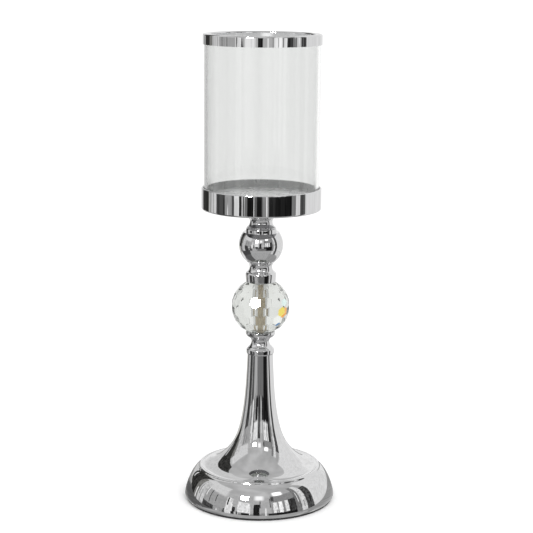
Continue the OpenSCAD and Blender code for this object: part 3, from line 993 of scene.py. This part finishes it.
def set_world():
    """The camera and the floor see white all round. The plating sees a plain room, dark low down and mid grey
    above, lighter behind the object, and lighter still where the mirrored light has crossed the glass."""
    w = bpy.data.worlds.new("Studio")
    scene.world = w
    w.use_nodes = True
    w.node_tree.nodes.clear()
    way = add(w, "TexCoord", {}).outputs["Generated"]
    up = add(w, "SeparateXYZ", {"Vector": way}).outputs["Z"]
    mottle = add(w, "TexNoise", {"Vector": way, "Scale": 2.2, "Detail": 2.0}).outputs["Fac"]
    mottle = between(w, mottle, 0.78, 1.22)
    level = math_node(w, "MULTIPLY", between(w, up, tone(0.40), tone(0.67), -0.1, 0.5), mottle)
    behind = add(w, "VectorMath", {0: way, 1: (0.3, 0.95, 0.0)}, operation="DOT_PRODUCT").outputs["Value"]
    behind = between(w, behind, 0.0, tone(0.75), 0.86, 0.98)
    low_down = between(w, up, 1.0, 0.0, 0.3, 0.6)
    level = math_node(w, "ADD", level, math_node(w, "MULTIPLY", behind, low_down))
    rays = add(w, "LightPath", {}).outputs
    through_glass = math_node(w, "GREATER_THAN", rays["Transmission Depth"], 0.5)
    level = math_node(w, "ADD", level, math_node(w, "MULTIPLY", through_glass, tone(0.72)))
    plain = add(w, "Background", {"Color": (1, 1, 1, 1), "Strength": WHITE}).outputs[0]
    seen = add(w, "Background", {"Color": (1, 1, 1, 1), "Strength": level}).outputs[0]
    mirrored = math_node(w, "GREATER_THAN", rays["Glossy Depth"], 0.5)
    mixed = add(w, "MixShader", {0: mirrored, 1: plain, 2: seen}).outputs[0]
    add(w, "OutputWorld", {"Surface": mixed})


def disc(name, r, z, m):
    """A round sheet with a ring of quads every tenth of its radius."""
    around, steps = 96, 10
    verts = [(0, 0, z)]
    for i in range(1, steps + 1):
        for k in range(around):
            a = 2 * math.pi * k / around
            verts.append((r * i / steps * math.cos(a), r * i / steps * math.sin(a), z))
    faces = [(0, 1 + k, 1 + (k + 1) % around) for k in range(around)]
    for i in range(steps - 1):
        for k in range(around):
            j = (k + 1) % around
            a, b = 1 + i * around, 1 + (i + 1) * around
            faces.append((a + k, b + k, b + j, a + j))
    mesh = bpy.data.meshes.new(name)
    mesh.from_pydata(verts, [], faces)
    mesh.materials.append(m)
    obj = bpy.data.objects.new(name, mesh)
    scene.collection.objects.link(obj)
    return obj


def set_floor():
    """A plain pale floor, which the plating and the glass don't show."""
    floor = disc("Floor", 6.0, -0.1 * MM, material("Floor", (0.95, 0.95, 0.95), 0.9))
    floor.visible_glossy = False
    floor.visible_transmission = False


def area_light(name, position, size, power):
    """A round lamp aimed at the object, which shows in none of its surfaces."""
    data = bpy.data.lights.new(name, "AREA")
    data.shape = "DISK"
    data.size = size
    data.energy = power
    lamp = bpy.data.objects.new(name, data)
    lamp.location = position
    aim = Vector((0, 0, 0.15)) - Vector(position)
    lamp.rotation_euler = aim.to_track_quat("-Z", "Y").to_euler()
    lamp.visible_glossy = False
    lamp.visible_camera = False
    lamp.visible_transmission = False
    scene.collection.objects.link(lamp)


room()
set_world()
set_floor()
area_light("Key", position=(1.2, -1.4, 2.2), size=1.6, power=18)
scene.view_settings.view_transform = "Standard"
scene.view_settings.look = "None"
scene.cycles.max_bounces = 24
scene.cycles.transmission_bounces = 24
scene.cycles.glossy_bounces = 12
scene.cycles.transparent_max_bounces = 32


# ---------------------------------------------------------------- camera
# Worked out from the ellipses of the base, the tray and the rim in the photo.
CAMERA_DISTANCE = 1.3315
CAMERA_HEIGHT = 0.4827
CAMERA_SIDE = 0.0050
CAMERA_TILT = math.radians(11.40)
CAMERA_ROLL = 0.0085
CAMERA_LENS = 102.78
camera_data = bpy.data.cameras.new("Camera")
camera_data.lens = CAMERA_LENS
camera_data.sensor_width = 36
camera = bpy.data.objects.new("Camera", camera_data)
camera.matrix_world = (Matrix.Translation((CAMERA_SIDE, -CAMERA_DISTANCE, CAMERA_HEIGHT))
                       @ Matrix.Rotation(math.pi / 2 - CAMERA_TILT, 4, "X")
                       @ Matrix.Rotation(CAMERA_ROLL, 4, "Z"))
scene.collection.objects.link(camera)
scene.camera = camera
